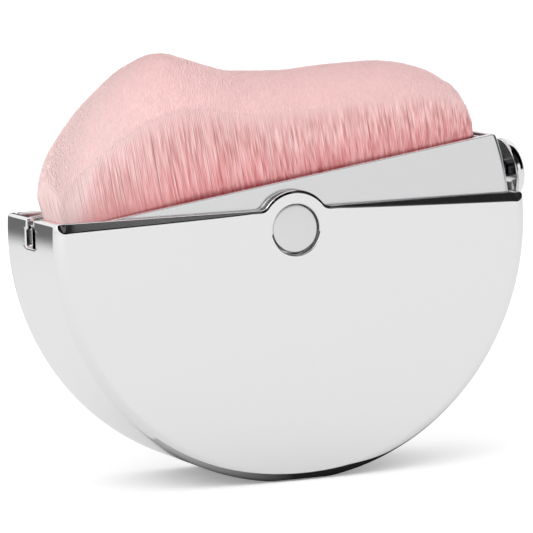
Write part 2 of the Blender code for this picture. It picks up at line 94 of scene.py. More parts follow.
def linear(code):
    """A hex colour, as seen on a screen, turned to the linear values that a shader takes."""
    parts = [int(code[i:i + 2], 16) / 255 for i in (1, 3, 5)]
    return tuple(c / 12.92 if c <= 0.04045 else ((c + 0.055) / 1.055) ** 2.4 for c in parts)


def length(name, description, millimetres):
    return bpy.props.FloatProperty(name=name, description=description, default=millimetres * MM, unit="LENGTH")


def share(name, description, value):
    return bpy.props.FloatProperty(name=name, description=description, default=value)


def count(name, description, value):
    return bpy.props.IntProperty(name=name, description=description, default=value)


def colour(name, description, code):
    return bpy.props.FloatVectorProperty(name=name, description=description, default=linear(code), subtype="COLOR",
                                         min=0, max=1)


# Sizes and colours that a user would change

class CaseSizes(bpy.types.PropertyGroup):
    """Sizes of the outer case."""

    radius: length("Radius", "Outer radius of the half disc", 34.0)
    thickness: length("Thickness", "Width from front face to back face", 19.8)
    wall: length("Wall", "Thickness of the sheet", 1.1)
    fillet: length("Fillet", "Radius of the outer round edge", 1.4)
    inner_fillet: length("Inner fillet", "Radius of the inner round edge", 0.7)
    rim: length("Rim height", "Height of the rim over the pivot", 2.8)
    ear: length("Ear radius", "Radius of the ear round the pivot", 5.2)
    blend: length("Ear blend", "Radius where the ear meets the rim", 1.2)
    band_end: length("Band at end", "Height of the sloped edge at the ends of the rim", 1.25)
    band_ear: length("Band at ear", "Height of the sloped edge at the ear", 0.38)
    band_slope: share("Band slope", "Depth of the sloped edge as a share of its height", 0.6)
    foot: length("Foot depth", "How much is cut from the lowest point to stand on", 0.2)
    hole: length("Ear hole", "Radius of the hole round the pivot button", 3.5)
    hole_lip: length("Hole lip", "How much closer the hole's upper part comes to the button", 0.14)
    hole_edge: length("Hole edge", "Radius of the rounded edge of that hole", 0.2)
    neck: length("Slot neck", "Width of the slot where it opens at the rim", 2.95)
    chamber: length("Slot chamber", "Width of the slot below its neck", 3.8)
    shoulder: length("Slot shoulder", "Height of the wide part over the pivot", 1.25)
    floor: length("Slot floor", "Depth of the slot's floor under the pivot", 1.1)
    slot_edge: length("Slot edge", "Radius of the slot's rounded edges", 0.22)


class CarrierSizes(bpy.types.PropertyGroup):
    """Sizes of the carrier, the pivot buttons and the knob."""

    radius: length("Radius", "Outer radius of the half disc", 32.4)
    thickness: length("Thickness", "Width from front face to back face", 17.0)
    wall: length("Wall", "Thickness of the sheet", 1.0)
    fillet: length("Fillet", "Radius of the outer round edge", 1.0)
    inner_fillet: length("Inner fillet", "Radius of the inner round edge", 0.5)
    rim: length("Rim height", "Height of the rim over the pivot", 6.4)
    edge: length("Rim edge", "Size of the softened edge of the rim", 0.1)
    end_edge: length("End edge", "Size of that edge on the end walls, which are rounder", 0.5)
    pocket: length("Washer pocket", "Radius of the pocket round the pivot", 4.3)
    pocket_floor: length("Pocket floor", "Distance of the pocket's floor from the middle", 7.6)
    barrel: length("Barrel", "Outer radius of the barrel inside", 3.4)
    bore: length("Bore", "Radius of the hole through the barrel", 2.4)
    button: length("Button radius", "Radius of the pivot button", 3.2)
    button_face: length("Button face", "Distance of the button's face from the middle", 9.55)
    button_seat: length("Button seat", "Distance of the button's seat from the middle", 7.9)
    button_dome: length("Button dome", "Rise of the button's face at its centre", 0.12)
    shank: length("Shank radius", "Radius of the button's shank", 1.2)
    shank_length: length("Shank length", "Length of the button's shank", 4.0)
    knob: length("Knob radius", "Radius of the knob's head", 4.3)
    knob_start: length("Knob place", "Distance of the knob's inner face from the pivot", 35.65)
    knob_thickness: length("Knob thickness", "Thickness of the knob's head", 1.82)
    knob_face: share("Knob face", "Flat outer face as a share of the knob's radius", 0.65)
    collar: length("Collar radius", "Radius of the collar under the knob's head", 1.2)
    collar_start: length("Collar start", "Distance of the collar's inner end from the pivot", 32.7)
    collar_end: length("Collar end", "Distance of the collar's outer end from the pivot", 35.35)
    stud_bore: length("Stud bore", "Radius of the bore for the stud", 0.9)
    stud_blind: length("Blind depth", "Depth of the bore in the knob's head", 1.15)


class TuftSizes(bpy.types.PropertyGroup):
    """Sizes of the tuft, in the carrier's frame."""

    half_length: length("Half length", "From the middle to the last root", 29.79)
    shift: length("Shift", "How far the middle of the roots is towards the knob", 0.17)
    half_width: length("Half width", "From the middle to the outermost row of roots", 6.3)
    root: length("Root height", "Height of the roots over the pivot", 6.1)
    peak: length("Peak", "Height of the crest over the carrier's rim", 19.2)
    end_flare: length("End flare", "How far the left end spreads past its roots", 0.45)
    side_flare: length("Side flare", "How far the sides spread past their roots", 0.55)
    flare_height: length("Flare height", "Length of fibre over which it spreads", 5.0)
    narrowing: share("End narrowing", "How much narrower the ends are, as a share of the width", 0.3)
    shoulder: share("Shoulder", "Height at the sides as a share of the crest", 0.62)
    arch: share("Arch power", "How square the top is from side to side", 2.4)
    spacing: length("Spacing", "Distance from fibre to fibre, drawn wider than real so that they show", 0.23)
    radius: length("Fibre radius", "Radius of a fibre at its root, drawn thicker than real to match", 0.145)
    tip_share: share("Tip", "Radius at the tip as a share of the root's", 0.9)
    stub: length("Stub", "Length of an inner fibre that is modelled", 3.2)
    layers: count("Side layers", "Rows round the sides that are modelled from root to tip", 4)
    own_shading: share("Own shading", "How much a fibre is shaded by its own sides", 0.2)
    clump: length("Clump", "How far tips gather into clumps", 0.08)
    uneven: length("Uneven", "How unevenly the tips are cut", 0.04)
    # Fibres at the left end are drawn paler, down to their roots.
    pale_end: share("Pale end", "Part of the length, from the left end, that is drawn paler down to the root", 0.16)
    core_gap: length("Core depth", "How deep the packed inner mass lies under the tips", 0.22)
    seed: count("Seed", "Seed of the random numbers", 7)


class Finishes(bpy.types.PropertyGroup):
    """Colours of the surfaces."""

    chrome: colour("Chrome", "Plated metal of the case and the knob", "#EBEBEC")
    soft_chrome: colour("Soft chrome", "Plated metal of the carrier", "#DEDEDF")
    satin: colour("Satin steel", "Pivot buttons", "#E2E2E3")
    steel: colour("Plain steel", "Stud, nut, sleeve and washers", "#B4B4B8")
    # Painted shade: the collar is drawn near black to stand for the dark gap under the knob's head.
    burnished: colour("Steel darkened as painted shade", "Collar under the knob's head", "#3A3A3D")
    nylon: colour("Nylon", "Friction washer", "#E8E6E0")
    tray: colour("Grey plastic", "Bristle tray", "#C9C6C6")
    # Painted shadow: fibres are drawn dark red where they leave the tray, where the carrier's rim shades them.
    foot_shadow: colour("Painted shadow at the fibre foot", "Fibre where it leaves the tray", "#A03A46")
    root: colour("Fibre root", "Fibre just over the tray", "#FCB3B3")
    middle: colour("Fibre middle", "Fibre halfway up", "#F9C4C4")
    tip: colour("Fibre tip", "Fibre at its tip", "#FFD6D5")
    # The palest colour is what the ramp reaches where fibres are drawn paler, most at the left end.
    palest: colour("Pale fibre", "Fibre where it is drawn palest", "#FFDFDD")
    floor: colour("Floor", "The floor", "#EDEDED")


class StageSizes(bpy.types.PropertyGroup):
    """The camera, the floor and the lights."""

    floor_size: length("Floor size", "Width of the floor", 6000)
    lens: share("Lens", "Focal length in millimetres", 294.3)
    sky: share("Sky", "Strength of the sky", 0.95)
    key: share("Key", "Strength of the main softbox", 2.4)
    floor_lift: share("Floor lift", "What whitens the floor behind", 0.28)
    card: share("Dark card", "How light the card's right end is", 0.02)
    grey_card: share("Grey card", "How light the card's left end is", 0.5)
    felt: share("Grey felt", "How light the grey flags are", 0.16)


GROUPS = {
    "brush_case": CaseSizes,
    "brush_carrier": CarrierSizes,
    "brush_tuft": TuftSizes,
    "brush_finish": Finishes,
    "brush_stage": StageSizes,
}


# Shader trees

def add(tree, kind, settings=None, *values, **links):
    """Adds a node, sets its properties, and fills or links its inputs, in order or by name with _ for a space.

    A node given as a value stands for its first output.
    """
    node = tree.nodes.new(kind)
    for key, value in (settings or {}).items():
        setattr(node, key, value)
    by_name = {key.replace("_", " "): value for key, value in links.items()}
    for key, value in (*enumerate(values), *by_name.items()):
        if isinstance(value, bpy.types.Node):
            value = value.outputs[0]
        if isinstance(value, bpy.types.NodeSocket):
            tree.links.new(value, node.inputs[key])
        else:
            node.inputs[key].default_value = value
    return node


def new_material(name, **inputs):
    """A material with one Principled shader, whose plain values are set on the shader itself."""
    made = bpy.data.materials.new(name)
    made.use_nodes = True
    tree = made.node_tree
    shader = tree.nodes["Principled BSDF"]
    for key, value in inputs.items():
        shader.inputs[key.replace("_", " ")].default_value = value
    return made, tree, shader


def opaque(value):
    return (*value, 1.0)


def raise_grain(tree, shader, size, detail, strength, depth):
    """Gives a surface a relief whose waves are a real size across."""
    place = add(tree, "ShaderNodeTexCoord").outputs["Object"]
    waves = add(tree, "ShaderNodeTexNoise", Vector=place, Scale=1 / size, Detail=detail)
    bump = add(tree, "ShaderNodeBump", Strength=strength, Distance=depth, Height=waves.outputs["Fac"])
    tree.links.new(bump.outputs["Normal"], shader.inputs["Normal"])


def chrome_plate(colour_value, name, smoothest, roughest):
    """Nickel and chromium plated over a pressed and buffed shell.

    Buffing leaves a mirror with a very faint wave in it, about 11 mm long, and hairlines that soften what it
    reflects. Single hairlines are too fine to show, so their blur is drawn in patches 1.1 mm wide.
    """
    made, tree, shader = new_material(name, Base_Color=opaque(colour_value), Metallic=1.0)
    place = add(tree, "ShaderNodeTexCoord").outputs["Object"]
    patches = add(tree, "ShaderNodeTexNoise", Vector=place, Scale=0.9 / MM, Detail=1.0).outputs["Fac"]
    rough = add(tree, RANGE, None, patches, 0.3, 0.7, smoothest, roughest)
    tree.links.new(rough.outputs["Result"], shader.inputs["Roughness"])
    raise_grain(tree, shader, MM / 0.09, 1.0, 0.05, 0.25 * MM)
    return made


def satin_steel(colour_value, name, roughness):
    """Steel turned on a lathe and left satin, so it spreads the light into a soft even grey.

    Its grain is hundredths of a millimetre fine, and is drawn 0.4 mm wide so that it shows.
    """
    made, tree, shader = new_material(name, Base_Color=opaque(colour_value), Metallic=1.0, Roughness=roughness)
    raise_grain(tree, shader, 0.4 * MM, 3.0, 0.12, 0.02 * MM)
    return made


def moulded_plastic(colour_value, name, roughness):
    """Injection-moulded plastic with a spark-eroded texture, so it shines only softly.

    The texture is drawn 0.25 mm wide, coarser than real, so that it shows.
    """
    made, tree, shader = new_material(name, Base_Color=opaque(colour_value), Roughness=roughness)
    raise_grain(tree, shader, 0.25 * MM, 2.0, 0.2, 0.02 * MM)
    return made


def dyed_fibre(finish):
    """Crimp-free synthetic fibre, dyed rosy at the root and faded towards a tapered tip, with a painted shadow at
    its foot.

    Each fibre takes the dye a little differently, and its drawn surface has a soft sheen along it. The attribute
    reach is the height along the fibre, tone and dye are the fibre's own, and pale is how much paler its place is
    drawn, most at the left end.
    """
    made, tree, shader = new_material("dyed synthetic fibre", Roughness=0.6, Specular_IOR_Level=0.2,
                                      Sheen_Weight=0.08, Sheen_Roughness=0.4)
    reach, tone, dye, pale = (add(tree, "ShaderNodeAttribute", {"attribute_name": key}).outputs["Fac"]
                              for key in ("reach", "tone", "dye", "pale"))

    # The dye fades from foot to tip over a painted shadow at the foot, and fibres differ in it most at mid height
    over_foot = add(tree, RANGE, None, reach, 0.04, 0.35, 0, 1)
    under_tip = add(tree, RANGE, None, reach, 0.5, 0.85, 1, 0.1)
    uneven = add(tree, MATH, TIMES, dye, add(tree, MATH, TIMES, over_foot, under_tip))
    # Fibres towards the left end are drawn paler, by moving them up the ramp.
    faded = add(tree, MATH, TIMES_PLUS, pale, add(tree, RANGE, None, reach, 0, 0.1, 0, 1), uneven)
    height = add(tree, MATH, TIMES, reach, 0.88)
    ramp = add(tree, "ShaderNodeValToRGB", Fac=add(tree, MATH, {**PLUS, "use_clamp": True}, faded, height))
    stops = ramp.color_ramp.elements
    # The lowest stop is a painted shadow along the fibres' foot.
    stops[0].position, stops[0].color = 0.0, opaque(finish.foot_shadow)
    stops[1].position, stops[1].color = 1.0, opaque(finish.palest)
    for position, stop_colour in ((0.08, finish.root), (0.55, finish.middle), (0.88, finish.tip)):
        stops.new(position).color = opaque(stop_colour)

    # Darker and lighter runs along single fibres, about 7 mm long, that end below the tips. The large number keeps
    # fibres of different tone far apart in the noise
    run = add(tree, "ShaderNodeCombineXYZ", X=add(tree, MATH, TIMES, tone, 400.0),
              Z=add(tree, MATH, TIMES, reach, 2.7))
    runs = add(tree, "ShaderNodeTexNoise", Vector=run, Scale=1.0, Detail=1.0).outputs["Fac"]
    stronger = add(tree, RANGE, None, reach, 0.1, 0.6, 0.6, 0.85)
    under_tip = add(tree, RANGE, None, reach, 0.75, 0.97, 1, 0.1)
    away_from_pale = add(tree, RANGE, None, pale, 0, 0.3, 1, 0.1)
    strength = add(tree, MATH, TIMES, add(tree, MATH, TIMES, stronger, under_tip), away_from_pale)
    streak = add(tree, MATH, TIMES, add(tree, RANGE, None, runs, 0.3, 0.7, -0.28, 0.2), strength)
    value = add(tree, MATH, PLUS, streak, add(tree, RANGE, None, tone, 0, 1, 0.96, 1.02))
    deeper = add(tree, MATH, TIMES_PLUS, streak, -1.3, 1.0)
    shade = add(tree, "ShaderNodeHueSaturation", Color=ramp, Value=value, Saturation=deeper)
    tree.links.new(shade.outputs["Color"], shader.inputs["Base Color"])
    return made


# Shells

class Shell:
    """The sizes of a hollow half disc that is open at its rim, and the points on its two skins."""

    def __init__(self, sizes, band_end, band_ear, band_side, slope, ear=0.0, blend=0.0, foot=0.0, lip=0.0):
        half = sizes.thickness / 2
        self.lip = lip
        self.outer = (sizes.radius, half, sizes.fillet)
        self.inner = (sizes.radius - sizes.wall, half - sizes.wall, sizes.inner_fillet)
        self.wall = sizes.wall
        self.rim = sizes.rim
        self.ear, self.blend = ear, blend
        self.band_end, self.band_ear, self.band_side, self.slope = band_end, band_ear, band_side, slope
        self.foot_height = sizes.radius - foot
        self.blend_z = sizes.rim + blend
        self.blend_x = math.sqrt((ear + blend) ** 2 - self.blend_z**2) if ear else 0.0
        self.front = []
        if ear:
            lean = math.atan2(self.blend_z, self.blend_x)
            self.front += self.steps("ear", math.pi / 2, lean, EAR_STEPS)
            self.front += self.steps("blend", lean - math.pi, -math.pi / 2, BLEND_STEPS)
        self.front += self.steps("line", 0, 1, RIM_STEPS)
        self.end = self.steps("corner", 0, math.pi / 2, CORNER_STEPS) + self.steps("side", 0, 1, SIDE_STEPS)
        self.end.append(("side", 1.0))

    @staticmethod
    def steps(kind, start, stop, number):
        return [(kind, start + (stop - start) * i / number) for i in range(number)]

    def point(self, skin, sample, offset):
        """A point on a skin, at an offset below the rim's line."""
        kind, value = sample
        radius, half, fillet = skin
        z = self.rim - offset
        if kind == "ear":
            reach = self.ear - offset
            return Vector((reach * math.cos(value), -half, reach * math.sin(value)))
        if kind == "blend":
            reach = self.blend + offset
            return Vector((self.blend_x + reach * math.cos(value), -half,
                           self.blend_z + reach * math.sin(value)))
        if kind == "line":
            reach = math.sqrt((radius - fillet) ** 2 - z * z)
            return Vector((self.blend_x + value * (reach - self.blend_x), -half, z))
        if kind == "corner":
            reach = radius - fillet + fillet * math.sin(value)
            return Vector((math.sqrt(reach**2 - z * z), -half + fillet * (1 - math.cos(value)), z))
        return Vector((math.sqrt(radius**2 - z * z), -(half - fillet) * (1 - value), z))

    def turn_to_side(self, sample):
        """How far round the corner a place on the rim is, from 0 on the face to 1 on the end wall."""
        kind, value = sample
        return {"corner": 1 - math.cos(value), "side": 1.0}.get(kind, 0.0)

    def band(self, sample):
        """The height of the sloped edge at a place on the rim."""
        radius, half, fillet = self.outer
        share_round = self.turn_to_side(sample)
        if sample[0] in ("corner", "side"):
            plain = self.band_ear + (self.band_side - self.band_ear) * share_round
            return max(plain, self.band_end - share_round * fillet / self.slope)
        if sample[0] == "line":
            start = self.ear + self.blend
            x = self.point(self.outer, sample, 0).x
            reach = max(0, x - start) / (radius - start)
            return self.band_ear + (self.band_end - self.band_ear) * reach ** BAND_POWER
        return self.band_ear

    def profile(self, sample):
        """The rim's section from the outer skin to the inner, as (offset below the rim, depth into the wall)."""
        band = self.band(sample)
        soft = 0.6 * self.band_ear
        far = band + self.wall
        crisp = 0.38 * self.band_ear
        round_off = crisp + 0.6 * (self.band_side - self.band_ear) * self.turn_to_side(sample)
        corners = [(far, 0), (band, 0), (0, band * self.slope), (0, self.wall - soft), (soft, self.wall),
                   (far, self.wall)]
        return rounded(corners, [round_off, round_off, crisp, crisp])

    def rim_row(self, sample):
        rows = []
        for offset, depth in self.profile(sample):
            outer = self.point(self.outer, sample, offset)
            inner = self.point(self.inner, sample, offset)
            rows.append(outer.lerp(inner, depth / self.wall))
        return rows

    def sweep(self, skin, sample, start):
        """A line down a skin from its rim to the lowest point."""
        top = self.point(skin, sample, start)
        reach, angle = math.hypot(top.x, top.z), math.atan2(top.z, top.x)
        flat = math.acos(self.foot_height / self.outer[0]) - math.pi / 2
        angles = [angle + (flat - angle) * i / SWEEP_STEPS for i in range(SWEEP_STEPS)]
        angles += [flat + (-math.pi / 2 - flat) * i / FOOT_STEPS for i in range(FOOT_STEPS + 1)]
        line = [Vector((reach * math.cos(a), top.y, reach * math.sin(a))) for a in angles]
        for point in line:
            point.z = max(point.z, -self.foot_height)
        return line

    def grids(self, outer_hole, inner_hole):
        """A quarter of the shell, as grids of points. A hole is a list of (radius, distance from the middle)."""
        rim = [self.rim_row(sample) for sample in self.front + self.end]
        grids = [rim]
        hole_directions = None
        for skin, index, hole in ((self.outer, 0, outer_hole), (self.inner, -1, inner_hole)):
            lines = [self.sweep(skin, sample, self.profile(sample)[index][0]) for sample in self.end]
            grids.append(lines)
            edge = [row[index] for row in rim[:len(self.front)]] + lines[0]
            if hole_directions is None:
                hole_directions = [Vector((p.x, 0, p.z)).normalized() for p in edge]
            rings = [edge]
            for radius, distance in hole:
                reaches = [radius - self.lip * (d.z > LIP_END) for d in hole_directions]
                rings.append([Vector((reach * d.x, -distance, reach * d.z))
                              for reach, d in zip(reaches, hole_directions)])
            grids.append(rings)
        return grids


def rounded(points, reaches, steps=ROUND_STEPS):
    """The corners of an open line, each rounded over a reach. The two end points are left out."""
    line = []
    for before, corner, after, reach in zip(points, points[1:], points[2:], reaches):
        corner = Vector(corner)
        start = corner + (Vector(before) - corner).normalized() * reach
        end = corner + (Vector(after) - corner).normalized() * reach
        for i in range(steps + 1):
            t = i / steps
            line.append(start.lerp(corner, t).lerp(corner.lerp(end, t), t))
    return line


def fill_grid(shape, rows, turn=Vector((1, 1, 1))):
    """Joins rows of points into faces."""
    verts = [[shape.verts.new(point * turn) for point in row] for row in rows]
    for low, high in zip(verts, verts[1:]):
        for i in range(len(low) - 1):
            shape.faces.new((low[i], low[i + 1], high[i + 1], high[i]))


def finish_shape(shape, name):
    """Welds a shape, turns its faces outwards and makes it a smooth mesh."""
    bmesh.ops.remove_doubles(shape, verts=shape.verts, dist=WELD)
    bmesh.ops.dissolve_degenerate(shape, edges=shape.edges, dist=WELD)
    shape.normal_update()
    bmesh.ops.recalc_face_normals(shape, faces=shape.faces)
    mesh = bpy.data.meshes.new(name)
    shape.to_mesh(mesh)
    shape.free()
    mesh.shade_smooth()
    return mesh


def add_object(name, mesh):
    made = bpy.data.objects.new(name, mesh)
    bpy.context.scene.collection.objects.link(made)
    return made


def baked(made):
    """The object with its modifiers worked into its mesh."""
    evaluated = made.evaluated_get(bpy.context.evaluated_depsgraph_get())
    mesh = bpy.data.meshes.new_from_object(evaluated)
    made.modifiers.clear()
    made.data = mesh
    return made


def shell_mesh(name, shell, outer_hole, inner_hole):
    shape = bmesh.new()
    for rows in shell.grids(outer_hole, inner_hole):
        for turn in ((1, 1, 1), (-1, 1, 1), (1, -1, 1), (-1, -1, 1)):
            fill_grid(shape, rows, Vector(turn))
    return finish_shape(shape, name)


def even_normals(made, flat_axes, on_carrier=True):
    """Lets flat faces keep their own direction up to their edges, so only the rounded edges curve."""
    made.modifiers.new("even normals", "WEIGHTED_NORMAL").keep_sharp = False
    mesh = baked(made).data
    turn = Matrix.Rotation(-CARRIER_TILT, 3, "Y") if on_carrier else Matrix.Identity(3)
    axes = [turn.col["XYZ".index(axis)] for axis in flat_axes]
    kept = {}
    for face in mesh.polygons:
        if any(abs(face.normal.dot(axis)) > FLAT_COSINE for axis in axes):
            kept.update(dict.fromkeys(face.vertices, face.normal.copy()))
    mesh.normals_split_custom_set([kept.get(loop.vertex_index, corner.vector.copy())
                                   for loop, corner in zip(mesh.loops, mesh.corner_normals)])
    return made


def install(made, body, material, slot, replaced=()):
    """Puts a piece on its body with its finish, and hides the nodes that it stands for."""
    made.data.materials.clear()
    made.data.materials.append(material)
    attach(made, body)
    if replaced:
        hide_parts(*replaced)
    return made


def to_row(mesh, on_carrier=True):
    """Moves a mesh from the pivot's frame, or the carrier's, to the row frame."""
    turn = Matrix.Rotation(-CARRIER_TILT, 4, "Y") if on_carrier else Matrix.Identity(4)
    mesh.transform(Matrix.Translation(PIVOT) @ turn)
    return mesh


def slot_cutter(sizes, side):
    """A plug the shape of the keyhole slot, flared at the case's skins so that the cut edges are round."""
    edge = sizes.slot_edge
    neck, chamber = sizes.neck / 2, sizes.chamber / 2
    shoulder_top = sizes.shoulder + chamber - neck
    lip = 2.0 * edge
    top = sizes.rim + 10 * edge
    half = [Vector((neck + FLARE[0][1] * lip, top))]
    half += [Vector((neck + widen * lip, sizes.rim - depth * lip)) for depth, widen in (*FLARE, (1, 0))]
    corners = [half[-1], (neck, shoulder_top), (chamber, sizes.shoulder), (chamber, -sizes.floor),
               (0, -sizes.floor)]
    half += rounded(corners, [0.8 * edge, 0.6 * edge, 1.5 * edge], 3)
    outline = half + [Vector((-y, z)) for y, z in reversed(half)]
    number = len(outline)
    spread = []
    for i, here in enumerate(outline):
        before, after = (here - outline[i - 1]).normalized(), (outline[(i + 1) % number] - here).normalized()
        normals = [Vector((-d.y, d.x)) for d in (before, after)]
        spread.append((normals[0] + normals[1]) / (1 + normals[0].dot(normals[1])))
    inner = 0.7 * edge
    sections = [(depth * edge, widen * edge) for depth, widen in (*FLARE, (1, 0))]
    sections += [(sizes.wall - depth * inner, widen * inner) for depth, widen in ((1, 0), *reversed(FLARE))]
    shape = bmesh.new()
    rings = []
    for depth, widen in sections:
        ring = []
        for here, away in zip(outline, spread):
            y, z = here + away * widen
            ring.append(Vector((side * (math.sqrt(sizes.radius**2 - z * z) - depth), y, z)))
        rings.append(ring)
    outside = [Vector((side * (sizes.radius + sizes.wall), p.y, p.z)) for p in rings[0]]
    inside = [Vector((side * (sizes.radius - 3 * sizes.wall), p.y, p.z)) for p in rings[-1]]
    rings = [[shape.verts.new(p) for p in ring] for ring in (outside, *rings, inside)]
    for low, high in zip(rings, rings[1:]):
        for i in range(number):
            shape.faces.new((low[i], low[(i + 1) % number], high[(i + 1) % number], high[i]))
    shape.faces.new(rings[0])
    shape.faces.new(rings[-1])
    return finish_shape(shape, "slot cutter")


def turned(name, profile, steps=TURN_STEPS):
    """A line of (radius, height) turned about the Z axis into a closed body."""
    shape = bmesh.new()
    rows = []
    for i in range(steps + 1):
        angle = math.tau * (i % steps) / steps
        rows.append([Vector((r * math.cos(angle), r * math.sin(angle), h)) for r, h in profile])
    fill_grid(shape, rows)
    return finish_shape(shape, name)


def upright_to_y(mesh, sign):
    mesh.transform(Matrix.Rotation(-sign * math.pi / 2, 4, "X"))
    return mesh


# Operators

class BRUSH_OT_case(bpy.types.Operator):
    """Make the outer case"""

    bl_idname = "brush.case"
    bl_label = "Outer Case"

    def execute(self, context):
        sizes = context.scene.brush_case
        shell = Shell(sizes, sizes.band_end, sizes.band_ear, sizes.band_ear, sizes.band_slope, sizes.ear,
                      sizes.blend, sizes.foot, sizes.hole_lip)
        half, edge = sizes.thickness / 2, sizes.hole_edge
        inner_half = half - sizes.wall
        outer_hole = rounded([(sizes.ear, half), (sizes.hole, half), (sizes.hole, 0)], [edge])
        inner_hole = rounded([(sizes.ear, inner_half), (sizes.hole, inner_half), (sizes.hole, half)],
                             [edge / 3])
        inner_hole.append(outer_hole[-1])
        made = add_object("case", shell_mesh("case", shell, outer_hole, inner_hole))
        for side in (-1, 1):
            cutter = add_object("slot_cutter", slot_cutter(sizes, side))
            cut = made.modifiers.new("slot", "BOOLEAN")
            cut.object, cut.operation, cut.solver = cutter, "DIFFERENCE", "EXACT"
            baked(made)
            bpy.data.objects.remove(cutter)
        made.data.shade_smooth()
        to_row(made.data, on_carrier=False)
        even_normals(made, "YZ", on_carrier=False)
        install(made, "case", BRUSH_MATERIALS["chrome"], "chrome_plate", ["outer_case"])
        return {"FINISHED"}


class BRUSH_OT_carrier(bpy.types.Operator):
    """Make the carrier's shell"""

    bl_idname = "brush.carrier"
    bl_label = "Carrier"

    def execute(self, context):
        sizes = context.scene.brush_carrier
        shell = Shell(sizes, sizes.edge, sizes.edge, sizes.end_edge, 1.0)
        half = sizes.thickness / 2
        soft = sizes.edge
        outer_hole = rounded([(sizes.knob, half), (sizes.pocket, half), (sizes.pocket, 0)], [soft])
        outer_hole += [(sizes.pocket, sizes.pocket_floor), (sizes.bore, sizes.pocket_floor), (sizes.bore, 0)]
        inner_hole = [(sizes.barrel, half - sizes.wall), (sizes.barrel, 0)]
        made = add_object("carrier", to_row(shell_mesh("carrier", shell, outer_hole, inner_hole)))
        even_normals(made, "YZ")
        install(made, "carrier", BRUSH_MATERIALS["soft_chrome"], "chrome_plate", ["carrier_shell"])
        return {"FINISHED"}


class BRUSH_OT_pivot(bpy.types.Operator):
    """Make the pivot buttons and finish the hidden pivot pieces"""

    bl_idname = "brush.pivot"
    bl_label = "Pivot"

    def execute(self, context):
        sizes = context.scene.brush_carrier
        rise = sizes.button_dome
        edge = 1.6 * rise
        crown = [(sizes.button * t, sizes.button_face - rise * t * t) for t in (0, 0.2, 0.4, 0.6, 0.8)]
        side = sizes.button_face - rise
        crown += rounded([crown[-1], (sizes.button, side), (sizes.button, sizes.button_seat)], [edge])
        crown += [(sizes.button, sizes.button_seat), (sizes.shank, sizes.button_seat),
                  (sizes.shank, sizes.button_seat - sizes.shank_length),
                  (0, sizes.button_seat - sizes.shank_length)]
        for name, sign in (("front_button", 1), ("rear_button", -1)):
            mesh = to_row(upright_to_y(turned(name, crown), -sign))
            made = add_object(name, mesh)
            even_normals(made, "Y")
            node = name.replace("button", "pivot_button")
            install(made, "carrier", BRUSH_MATERIALS["satin"], "satin_steel", [node])
        for node in ("pivot_sleeve", "rear_wave_washer", "knob_stud", "knob_washer", "knob_nut"):
            frame["nodes"][node].material_slots[0].material = BRUSH_MATERIALS["steel"]
        frame["nodes"]["front_friction_washer"].material_slots[0].material = BRUSH_MATERIALS["nylon"]
        frame["nodes"]["bristle_tray"].material_slots[0].material = BRUSH_MATERIALS["tray"]
        return {"FINISHED"}


class BRUSH_OT_knob(bpy.types.Operator):
    """Make the knob's head and its collar"""

    bl_idname = "brush.knob"
    bl_label = "Knob"

    def execute(self, context):
        sizes = context.scene.brush_carrier
        start, thick = sizes.knob_start, sizes.knob_thickness
        face = sizes.knob * sizes.knob_face
        curve = sizes.knob - face
        edge = [(face + curve * math.cos(a), start + thick * math.sin(a))
                for a in (math.pi / 2 * (1 - i / KNOB_STEPS) for i in range(KNOB_STEPS))]
        soft = 0.1 * thick
        back = rounded([edge[-1], (sizes.knob, start), (sizes.stud_bore, start)], [soft])
        floor = start + sizes.stud_blind
        head = [(0, start + thick), *edge, *back, (sizes.stud_bore, start), (sizes.stud_bore, floor),
                (0, floor)]
        bore, radius = sizes.stud_bore, sizes.collar
        low, high = sizes.collar_start, sizes.collar_end
        section = [(bore, high), (radius, high), (radius, low), (bore, low)]
        collar = rounded(section + section[:2], [soft / 2] * 4, 2)
        collar.append(collar[0])
        # The collar takes the steel that is darkened as painted shade.
        for name, profile, material, slot in (("knob", head, "chrome", "chrome_plate"),
                                              ("collar", collar, "burnished", "plain_steel")):
            mesh = turned(name, profile)
            mesh.transform(Matrix.Rotation(math.pi / 2, 4, "Y"))
            made = add_object(name, to_row(mesh))
            even_normals(made, "X")
            node = "knob_head" if name == "knob" else "knob_collar"
            install(made, "carrier", BRUSH_MATERIALS[material], slot, [node])
        return {"FINISHED"}


# Tuft

# About the way from the tuft to the main softbox. The carrier's tilt is left out of it
SOFTBOX_WAY = Vector((-0.46, -0.59, 0.67))
# How far a fibre may stand off its place on the lattice, as a share of the spacing
SCATTER = 0.35
# Tips gather in clumps 2.4 mm wide within broad ones of 9 mm. A second noise is taken this far from the first
CLUMPS, BROAD_CLUMPS = 0.42 / MM, 0.11 / MM
APART = Vector((9.3, -1.5, -7.9))
# The crest's height as a share of the peak, at places from -1 to 1 along the tuft
CREST_SHARES = (
    (-1.00, 0.260), (-0.984, 0.356), (-0.938, 0.482), (-0.867, 0.603), (-0.765, 0.747), (-0.674, 0.841),
    (-0.583, 0.927), (-0.502, 0.972), (-0.421, 1.000), (-0.350, 0.984), (-0.270, 0.923), (-0.180, 0.851),
    (-0.090, 0.788), (0.031, 0.746), (0.209, 0.698), (0.358, 0.682), (0.507, 0.657), (0.626, 0.633),
    (0.725, 0.596), (0.814, 0.540), (0.883, 0.478), (0.937, 0.401), (0.971, 0.351), (1.00, 0.160),
)


def crest(along):
    """The crest's height as a share of the peak, smoothly through the crest's places."""
    places = CREST_SHARES
    along = min(max(along, places[0][0]), places[-1][0])
    i = next(i for i in range(1, len(places)) if along <= places[i][0])
    (x0, h0), (x1, h1) = places[i - 1], places[i]
    before, after = places[max(i - 2, 0)], places[min(i + 1, len(places) - 1)]
    span = x1 - x0
    m0 = (h1 - before[1]) / (x1 - before[0]) * span
    m1 = (after[1] - h0) / (after[0] - x0) * span
    t = (along - x0) / span
    return ((2 * t**3 - 3 * t**2 + 1) * h0 + (t**3 - 2 * t**2 + t) * m0 + (3 * t**2 - 2 * t**3) * h1
            + (t**3 - t**2) * m1)


